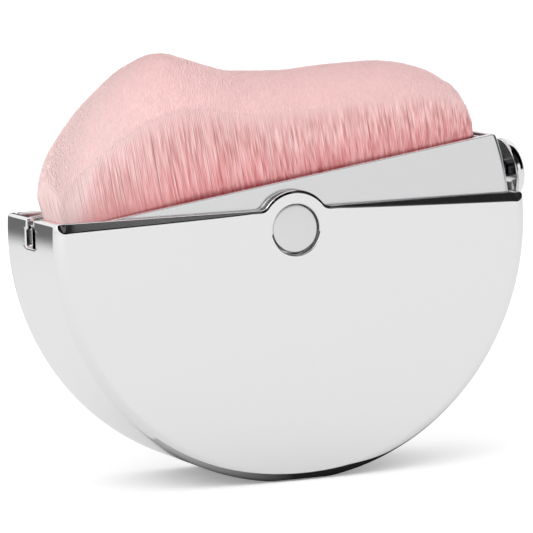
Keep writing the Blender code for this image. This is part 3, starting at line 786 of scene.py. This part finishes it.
def fibre_line(sizes, rim, along, across):
    """The root and the tip of a fibre, for a place from -1 to 1 along and across the tuft."""
    narrow = 1 - sizes.narrowing * abs(along) ** 12
    x = along * sizes.half_length + sizes.shift
    root = Vector((x, across * sizes.half_width * narrow, sizes.root))
    arch = 1 - (1 - sizes.shoulder) * abs(across) ** sizes.arch
    tip = Vector((x - sizes.end_flare * (1 - along) / 2, across * (sizes.half_width + sizes.side_flare) * narrow,
                  rim + sizes.peak * crest(along) * arch))
    return root, tip


def top_direction(sizes, rim, along, across):
    """The direction that the cut surface of the tuft faces at a place."""
    step = 0.02
    right, left, back, front = (fibre_line(sizes, rim, along + x, across + y)[1]
                                for x, y in ((step, 0), (-step, 0), (0, step), (0, -step)))
    return (right - left).cross(back - front).normalized()


def side_direction(along, across):
    """The direction that the tuft's upright side faces at a place. The powers turn it close to the corners."""
    return Vector((along**25, across**5, 1e-6)).normalized()


def fibre_places(sizes):
    """Places on a staggered lattice with a little scatter, and whether each is near the tuft's sides."""
    draw = random.Random(sizes.seed)
    rows = int(2 * (sizes.half_width + sizes.side_flare) / (sizes.spacing * math.sin(math.pi / 3)))
    columns = int(2 * sizes.half_length / sizes.spacing)
    for row in range(rows + 1):
        for column in range(columns + 1):
            along = -1 + 2 * (column + (row % 2) / 2) / (columns + 0.5)
            across = -1 + 2 * row / rows
            deep = min(row, rows - row, column, columns - column)
            if deep:
                along += draw.uniform(-SCATTER, SCATTER) * 2 / columns
                across += draw.uniform(-SCATTER, SCATTER) * 2 / rows
            yield min(max(along, -1), 1), min(max(across, -1), 1), deep, draw.random()


def keep(mesh, key, values):
    """Keeps a number or a vector for each point of a mesh, as an attribute."""
    if isinstance(values[0], Vector):
        data = mesh.attributes.new(key, "FLOAT_VECTOR", "POINT").data
        data.foreach_set("vector", [part for value in values for part in value])
    else:
        mesh.attributes.new(key, "FLOAT", "POINT").data.foreach_set("value", values)


def guide_mesh(name, sizes, rim, wanted):
    """A vertex for each fibre's root, with its tip and looks kept as attributes."""
    draw = random.Random(sizes.seed + 1)
    roots = []
    looks = {key: [] for key in ("tip", "sway", "top", "out", "start", "tone", "dye", "pale")}
    for along, across, deep, chance in fibre_places(sizes):
        side = deep < sizes.layers
        scatter = [draw.uniform(-1, 1) for _ in range(5)]
        if side != wanted:
            continue
        root, tip = fibre_line(sizes, rim, along, across)
        # noise_vector isn't used, because it gives another result each run
        clump = noise.noise(tip * CLUMPS) + noise.noise(tip * BROAD_CLUMPS)
        aside = 0.4 * noise.noise(tip * CLUMPS + APART)
        tip += Vector((clump * sizes.clump, aside * sizes.clump, scatter[0] * sizes.uneven))
        # Patches of fibres that took more or less dye, about 0.7 mm along the tuft by 0.5 mm across
        streak = noise.noise(Vector((along * 45, across * 14, 3.0)))
        # Fibres are drawn paler towards the left end, and a little over the left part of the tuft.
        end = max(0.0, 1 - (1 + along) / sizes.pale_end)
        left = min(1.0, max(0.0, (-0.4 - along) / 0.6))
        # Fibres pass light on, most where they are pale, so the far side is shaded as if it faced the softbox more
        passed = min(0.35, 0.25 * max(0, across) + 0.4 * left * (1 + across))
        top = top_direction(sizes, rim, along, across).lerp(SOFTBOX_WAY, passed)
        roots.append(root)
        for key, value in (
            ("tip", tip),
            ("sway", Vector((scatter[1], scatter[2] * 0.5, 0)) * sizes.clump * 0.8),
            ("top", top),
            ("out", side_direction(along, across).lerp(SOFTBOX_WAY, 0.6 * end) if side else top),
            ("start", 0.0 if side else max(0.0, 1 - sizes.stub / (tip - root).length)),
            ("tone", chance),
            ("dye", max(-0.07, 0.16 * streak + 0.14 * (scatter[3] + scatter[4]))),
            ("pale", min(1.0, 0.8 * end + 0.2 * left)),
        ):
            looks[key].append(value)
    mesh = bpy.data.meshes.new(name)
    mesh.from_pydata(roots, [], [])
    for key, values in looks.items():
        keep(mesh, key, values)
    return mesh


def strand_tree(sides, segments):
    """Geometry nodes that stand a tapered fibre on every root and bend it towards its tip.

    The fibre's own points keep up, their height from 0 to 1, and side, their way from its middle. The rest of
    what is read comes from the guide mesh.
    """
    tree = bpy.data.node_groups.new("fibres", "GeometryNodeTree")
    sizes = [(name, "INPUT", "Float") for name in ("Radius", "Tip Share", "Flare Height", "Own Shading")]
    for name, way, kind in (("Geometry", "INPUT", "Geometry"), *sizes, ("Material", "INPUT", "Material"),
                            ("Geometry", "OUTPUT", "Geometry")):
        tree.interface.new_socket(name, in_out=way, socket_type="NodeSocket" + kind)
    given = add(tree, "NodeGroupInput").outputs
    numbers, vectors = ("start", "up"), ("side", "root", "tip", "sway", "top", "out")
    start, up, side, root, tip, sway, top, out = (
        add(tree, "GeometryNodeInputNamedAttribute", {"data_type": "FLOAT" if key in numbers else "FLOAT_VECTOR"},
            Name=key).outputs["Attribute"] for key in (*numbers, *vectors))

    place = add(tree, "GeometryNodeInputPosition").outputs[0]
    rod = add(tree, "GeometryNodeMeshCone", {"fill_type": "NGON"}, Vertices=sides, Side_Segments=segments,
              Fill_Segments=1, Radius_Top=1.0, Radius_Bottom=1.0, Depth=1.0)
    apart = add(tree, "ShaderNodeSeparateXYZ", Vector=place).outputs
    flat = add(tree, "ShaderNodeCombineXYZ", X=apart["X"], Y=apart["Y"])
    unit = add(tree, STORE, NUMBERS, Geometry=rod.outputs["Mesh"], Name="up", Value=apart["Z"])
    unit = add(tree, STORE, VECTORS, Geometry=unit, Name="side", Value=flat)
    points = add(tree, STORE, VECTORS, Geometry=given["Geometry"], Name="root", Value=place)
    stood = add(tree, "GeometryNodeInstanceOnPoints", Points=points, Instance=unit)
    real = add(tree, "GeometryNodeRealizeInstances", Geometry=stood)

    # How far up its fibre a point is, and the way that it is shaded: outwards low down, as the top does at the tip
    reach = add(tree, MATH, PLUS, start, add(tree, MATH, TIMES, up, add(tree, MATH, MINUS, 1.0, start)))
    real = add(tree, STORE, NUMBERS, Geometry=real, Name="reach", Value=reach)
    lean = add(tree, VECTOR_MATH, SCALED, add(tree, VECTOR_MATH, MINUS, top, out),
               Scale=add(tree, MATH, TIMES, reach, reach))
    own = add(tree, VECTOR_MATH, SCALED, side, Scale=given["Own Shading"])
    facing = add(tree, VECTOR_MATH, PLUS, add(tree, VECTOR_MATH, PLUS, out, lean), own)
    facing = add(tree, VECTOR_MATH, {"operation": "NORMALIZE"}, facing)
    real = add(tree, STORE, VECTORS, Geometry=real, Name="facing", Value=facing)

    # The fibre spreads over the flare's height, fast at first and then less, and rises straight from there
    span = add(tree, "ShaderNodeSeparateXYZ", Vector=add(tree, VECTOR_MATH, MINUS, tip, root)).outputs
    climbed = add(tree, MATH, TIMES, span["Z"], reach)
    part = add(tree, MATH, {"operation": "MINIMUM"}, add(tree, MATH, OVER, climbed, given["Flare Height"]), 1.0)
    left = add(tree, MATH, MINUS, 1.0, part)
    spread = add(tree, MATH, MINUS, 1.0, add(tree, MATH, TIMES, left, left))
    rise = add(tree, "ShaderNodeCombineXYZ", X=add(tree, MATH, TIMES, span["X"], spread),
               Y=add(tree, MATH, TIMES, span["Y"], spread), Z=climbed)
    swing = add(tree, MATH, {"operation": "SINE"}, add(tree, MATH, TIMES, reach, math.pi))
    bend = add(tree, VECTOR_MATH, SCALED, sway, Scale=swing)

    # It keeps its thickness nearly to the tip
    near_tip = add(tree, MATH, {"operation": "POWER"}, reach, 8.0)
    thinned = add(tree, MATH, TIMES, near_tip, add(tree, MATH, MINUS, 1.0, given["Tip Share"]))
    radius = add(tree, MATH, TIMES, add(tree, MATH, MINUS, 1.0, thinned), given["Radius"])
    thick = add(tree, VECTOR_MATH, SCALED, side, Scale=radius)
    final = add(tree, VECTOR_MATH, PLUS, add(tree, VECTOR_MATH, PLUS, root, rise),
                add(tree, VECTOR_MATH, PLUS, bend, thick))
    moved = add(tree, "GeometryNodeSetPosition", Geometry=real, Position=final)
    for key in ("up", "side", "root", "tip", "sway", "start", "top", "out"):
        moved = add(tree, "GeometryNodeRemoveAttribute", Geometry=moved, Name=key)
    dressed = add(tree, "GeometryNodeSetMaterial", Geometry=moved, Material=given["Material"])
    add(tree, "NodeGroupOutput", Geometry=dressed)
    return tree


def grow_fibres(name, sizes, guides, sides, segments):
    """Runs the fibres' tree on a guide mesh and keeps the result as a plain mesh."""
    made = add_object(name, guides)
    tree = strand_tree(sides, segments)
    modifier = made.modifiers.new("fibres", "NODES")
    values = {"Radius": sizes.radius, "Tip Share": sizes.tip_share, "Flare Height": sizes.flare_height,
              "Own Shading": sizes.own_shading, "Material": BRUSH_MATERIALS["fibre"]}
    modifier.node_group = tree
    for socket in tree.interface.items_tree:
        if socket.in_out == "INPUT" and socket.name in values:
            modifier[socket.identifier] = values[socket.name]
    baked(made)
    bpy.data.node_groups.remove(tree)
    to_row(made.data)
    made.data.shade_smooth()
    follow_tuft(made.data)
    return made


def follow_tuft(mesh):
    """Shades each fibre mostly by the way the tuft faces there, as light passed on by many fibres does."""
    values = [0.0] * (3 * len(mesh.vertices))
    mesh.attributes["facing"].data.foreach_get("vector", values)
    turn = Matrix.Rotation(-CARRIER_TILT, 3, "Y")
    ways = [turn @ Vector(values[i:i + 3]) for i in range(0, len(values), 3)]
    mesh.normals_split_custom_set_from_vertices(ways)
    mesh.attributes.remove(mesh.attributes["facing"])


def core_mesh(sizes, rim):
    """The packed mass under the tips, which closes the view between them."""
    shape = bmesh.new()
    long, wide, tall = 96, 20, 6
    inset = 1 - sizes.spacing / sizes.half_width
    inset_long = 1 - sizes.spacing / sizes.half_length

    def at(i, j, level):
        along, across = (2 * i / long - 1) * inset_long, (2 * j / wide - 1) * inset
        root, tip = fibre_line(sizes, rim, along, across)
        top = max(tip.z - sizes.core_gap, root.z)
        z = root.z + (top - root.z) * level
        part = min((z - root.z) / sizes.flare_height, 1)
        spread = 1 - (1 - part) ** 2
        return Vector((root.x + (tip.x - root.x) * spread, root.y + (tip.y - root.y) * spread, z))

    for level in (1, 0):
        fill_grid(shape, [[at(i, j, level) for j in range(wide + 1)] for i in range(long + 1)])
    for j in (0, wide):
        fill_grid(shape, [[at(i, j, k / tall) for k in range(tall + 1)] for i in range(long + 1)])
    for i in (0, long):
        fill_grid(shape, [[at(i, j, k / tall) for k in range(tall + 1)] for j in range(wide + 1)])
    mesh = finish_shape(shape, "tuft_core")
    reaches = []
    for vertex in mesh.vertices:
        along = (vertex.co.x - sizes.shift) / sizes.half_length
        across = vertex.co.y / (sizes.half_width + sizes.side_flare)
        root, tip = fibre_line(sizes, rim, min(max(along, -1), 1), min(max(across, -1), 1))
        reaches.append(min(1.0, (vertex.co.z - root.z) / (tip.z - root.z)))
    blank = [0.0] * len(reaches)
    for key, values in (("reach", reaches), ("tone", [0.5] * len(reaches)), ("dye", blank), ("pale", blank)):
        keep(mesh, key, values)
    return to_row(mesh)


class BRUSH_OT_tuft(bpy.types.Operator):
    """Grow the tuft of fibres"""

    bl_idname = "brush.tuft"
    bl_label = "Tuft"

    def execute(self, context):
        sizes = context.scene.brush_tuft
        rim = context.scene.brush_carrier.rim
        tips = grow_fibres("tuft_tips", sizes, guide_mesh("tuft_tips", sizes, rim, False), 3, 1)
        sides = grow_fibres("tuft_sides", sizes, guide_mesh("tuft_sides", sizes, rim, True), 3, 6)
        core = add_object("tuft_core", core_mesh(sizes, rim))
        for made, replaced in ((tips, ["bristle_tuft"]), (sides, ()), (core, ())):
            install(made, "carrier", BRUSH_MATERIALS["fibre"], "bristle", replaced)
        return {"FINISHED"}


# Stage

# How high the cards lie over the floor
CARD_HEIGHT = 0.2 * MM
# The sheets round the brush: compass angles and heights in degrees, distance in metres, and the felt
FLAGS = (
    ("flag_back", (48, 92), (-7.7, 9.5), 0.25, "black"),
    ("flag_left", (92, 135), (-7.7, 9.5), 0.25, "shaded"),
    ("flag_front", (-55, -8), (15, 64), 0.9, "charcoal"),
    ("flag_lobe", (-130, -63), (15, 64), 0.9, "black"),
    ("flag_grey", (-63, -55), (15, 64), 0.9, "grey"),
    ("flag_side", (-22, 24), (0, 64), 0.8, "black"),
)
# The cards on the floor that the chrome mirrors, each as its front and its back edge in millimetres
MAT_BACK = (((-35, 120), (15, 120), (25, 30), (58, 30), (130, 120)),
            ((-35, 250), (15, 250), (25, 250), (58, 250), (130, 250)))
MAT_UNDER = (((-23, -12), (8, -12), (12, -10.1), (25, -4.4), (37, 6), (60, 28)),
             ((-23, 10), (8, 14), (12, 24), (25, 30), (37, 34), (60, 34)))
# Where the card under the brush starts and stops darkening
GREY_FROM, DARK_FROM = -20 * MM, -1 * MM
# The flag at the left is pale at the floor and dark from this height
PALE_FOOT, SHADED_FROM = 0.9, 14.4 * MM
# The camera, fitted to the brush's outline in the photograph
CAMERA_AZIMUTH, CAMERA_ELEVATION, CAMERA_ROLL = (math.radians(angle) for angle in (-22.66, 6.60, -1.68))
CAMERA_DISTANCE = 587.8 * MM
CAMERA_TARGET = Vector((-0.35, 0, -5.92)) * MM


def glow(name, strength, foot=0.0, fade=0.0):
    """A plain light-giving surface for a softbox, or a dark one for a flag, which may pale towards its foot."""
    made = bpy.data.materials.new(name)
    made.use_nodes = True
    tree = made.node_tree
    tree.nodes.clear()
    light = add(tree, "ShaderNodeEmission", Color=(1, 1, 1, 1), Strength=strength)
    if fade:
        place = add(tree, "ShaderNodeSeparateXYZ", Vector=add(tree, "ShaderNodeTexCoord").outputs["Object"])
        paled = add(tree, RANGE, {"interpolation_type": "SMOOTHSTEP"}, place.outputs["Z"], 0.0, fade, foot,
                    strength)
        tree.links.new(paled.outputs["Result"], light.inputs["Strength"])
    add(tree, "ShaderNodeOutputMaterial", Surface=light.outputs[0])
    return made


def graded_card(start, stop, light, dark):
    """Matt card that darkens from left to right, so that the brush's own shadow still shows on it."""
    made, tree, shader = new_material("graded card", Roughness=1.0, Specular_IOR_Level=0.0)
    place = add(tree, "ShaderNodeSeparateXYZ", Vector=add(tree, "ShaderNodeTexCoord").outputs["Object"])
    grey = add(tree, RANGE, None, place.outputs["X"], start, stop, light, dark)
    tree.links.new(grey.outputs["Result"], shader.inputs["Base Color"])
    return made


def stand(name, rows, material, lights=False):
    """A softbox or a flag beside the view: a sheet of points that only lights and reflections show."""
    across = len(rows[0])
    faces = [(i + j * across, i + 1 + j * across, i + 1 + (j + 1) * across, i + (j + 1) * across)
             for j in range(len(rows) - 1) for i in range(across - 1)]
    mesh = bpy.data.meshes.new(name)
    mesh.from_pydata([point for row in rows for point in row], [], faces)
    mesh.materials.append(material)
    made = add_object(name, mesh)
    made.visible_camera = False
    made.visible_shadow = False
    made.visible_diffuse = lights
    return made


def laid(*edges):
    """Rows of points of a card that lies just over the floor, from its front and back edges in millimetres."""
    return [[(x * MM, y * MM, CARD_HEIGHT) for x, y in edge] for edge in edges]


def curved(azimuths, elevations, distance):
    """Rows of points of a sheet curved round the brush between two compass angles and two heights, in degrees."""
    rows = []
    for j in range(SHEET_STEPS + 1):
        e = math.radians(elevations[0] + (elevations[1] - elevations[0]) * j / SHEET_STEPS)
        rows.append([])
        for i in range(SHEET_STEPS + 1):
            a = math.radians(azimuths[0] + (azimuths[1] - azimuths[0]) * i / SHEET_STEPS)
            away = Vector((math.cos(e) * math.cos(a), math.cos(e) * math.sin(a), math.sin(e)))
            rows[-1].append(PIVOT + distance * away)
    return rows


class BRUSH_OT_stage(bpy.types.Operator):
    """Set up the floor, the lights and the camera"""

    bl_idname = "brush.stage"
    bl_label = "Stage"

    def execute(self, context):
        scene = context.scene
        stage, finish = scene.brush_stage, scene.brush_finish
        self.make_floor(stage, finish)
        self.make_world(scene, stage)
        stand("softbox", curved((-156, -100), (22, 62), 1.2), glow("softbox", stage.key), lights=True)
        felts = {
            "black": glow("black felt", 0.0),
            "grey": glow("grey felt", stage.felt),
            "shaded": glow("shaded felt", stage.felt, PALE_FOOT, SHADED_FROM),
            "charcoal": glow("charcoal felt", 0.02),
        }
        for name, azimuths, heights, distance, felt in FLAGS:
            stand(name, curved(azimuths, heights, distance), felts[felt])
        stand("mat_back", laid(*MAT_BACK), felts["black"])
        stand("mat_under", laid(*MAT_UNDER), graded_card(GREY_FROM, DARK_FROM, stage.grey_card, stage.card))
        self.make_camera(scene, stage)
        scene.view_settings.view_transform = "Standard"
        return {"FINISHED"}

    def make_floor(self, stage, finish):
        half = stage.floor_size / 2
        mesh = bpy.data.meshes.new("floor")
        corners = [(x * half, y * half, 0) for x, y in ((-1, -1), (1, -1), (1, 1), (-1, 1))]
        mesh.from_pydata(corners, [], [(0, 1, 2, 3)])
        floor = add_object("floor", mesh)
        made = bpy.data.materials.new("matt paper sweep")
        made.use_nodes = True
        tree = made.node_tree
        tree.nodes.clear()
        for_eye = add(tree, "ShaderNodeLightPath").outputs["Is Camera Ray"]
        matt = add(tree, "ShaderNodeBsdfDiffuse", Color=opaque(finish.floor))
        lift = add(tree, "ShaderNodeEmission", Color=(1, 1, 1, 1),
                   Strength=add(tree, MATH, TIMES, for_eye, stage.floor_lift))
        add(tree, "ShaderNodeOutputMaterial", Surface=add(tree, "ShaderNodeAddShader", None, matt, lift))
        mesh.materials.append(made)

    def make_world(self, scene, stage):
        world = bpy.data.worlds.new("studio")
        scene.world = world
        world.use_nodes = True
        tree = world.node_tree
        tree.nodes.clear()
        paths = add(tree, "ShaderNodeLightPath").outputs
        seen = add(tree, MATH, {"operation": "MAXIMUM"}, paths["Is Camera Ray"], paths["Is Glossy Ray"])
        strength = add(tree, RANGE, Value=seen, To_Min=stage.sky, To_Max=1.0)
        light = add(tree, "ShaderNodeBackground", Color=(1, 1, 1, 1), Strength=strength)
        add(tree, "ShaderNodeOutputWorld", Surface=light)

    def make_camera(self, scene, stage):
        data = bpy.data.cameras.new("camera")
        camera = bpy.data.objects.new("camera", data)
        scene.collection.objects.link(camera)
        data.sensor_width = 36.0
        data.lens = stage.lens
        data.clip_start = 0.01
        level = math.cos(CAMERA_ELEVATION)
        forward = Vector((-math.sin(CAMERA_AZIMUTH) * level, math.cos(CAMERA_AZIMUTH) * level,
                          -math.sin(CAMERA_ELEVATION)))
        side = forward.cross(Vector((0, 0, 1))).normalized()
        up = side.cross(forward)
        right = side * math.cos(CAMERA_ROLL) + up * math.sin(CAMERA_ROLL)
        top = up * math.cos(CAMERA_ROLL) - side * math.sin(CAMERA_ROLL)
        turn = Matrix((right, top, -forward)).transposed().to_4x4()
        eye = PIVOT + CAMERA_TARGET - forward * CAMERA_DISTANCE
        camera.matrix_world = Matrix.Translation(eye) @ turn
        scene.camera = camera


class BRUSH_PT_panel(bpy.types.Panel):
    """Buttons that make the brush's pieces"""

    bl_label = "Face Blending Brush"
    bl_idname = "BRUSH_PT_panel"
    bl_space_type = "VIEW_3D"
    bl_region_type = "UI"
    bl_category = "Brush"

    def draw(self, context):
        for group, kind in GROUPS.items():
            box = self.layout.box()
            box.label(text=kind.__doc__)
            for key in kind.__annotations__:
                box.prop(getattr(context.scene, group), key)
        for operator in OPERATORS:
            self.layout.operator(operator.bl_idname)


OPERATORS = (BRUSH_OT_stage, BRUSH_OT_case, BRUSH_OT_carrier, BRUSH_OT_pivot, BRUSH_OT_knob, BRUSH_OT_tuft)


def make_materials(finish):
    BRUSH_MATERIALS.update(
        chrome=chrome_plate(finish.chrome, "polished chromium plate", 0.1, 0.12),
        soft_chrome=chrome_plate(finish.soft_chrome, "softly brushed chromium plate", 0.2, 0.23),
        satin=satin_steel(finish.satin, "satin stainless steel", 0.32),
        steel=satin_steel(finish.steel, "turned steel", 0.28),
        # Steel darkened as painted shade, for the dark gap round the collar.
        burnished=satin_steel(finish.burnished, "burnished steel", 0.2),
        nylon=moulded_plastic(finish.nylon, "nylon", 0.5),
        tray=moulded_plastic(finish.tray, "grey polypropylene", 0.45),
        fibre=dyed_fibre(finish),
    )


def register():
    for kind in (*GROUPS.values(), *OPERATORS, BRUSH_PT_panel):
        bpy.utils.register_class(kind)
    for name, kind in GROUPS.items():
        setattr(bpy.types.Scene, name, bpy.props.PointerProperty(type=kind))


def unregister():
    for name in GROUPS:
        delattr(bpy.types.Scene, name)
    for kind in reversed((*GROUPS.values(), *OPERATORS, BRUSH_PT_panel)):
        bpy.utils.unregister_class(kind)


def main():
    register()
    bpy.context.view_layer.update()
    make_materials(bpy.context.scene.brush_finish)
    for operator in OPERATORS:
        section, name = operator.bl_idname.split(".")
        getattr(getattr(bpy.ops, section), name)()


if __name__ == "__main__":
    main()
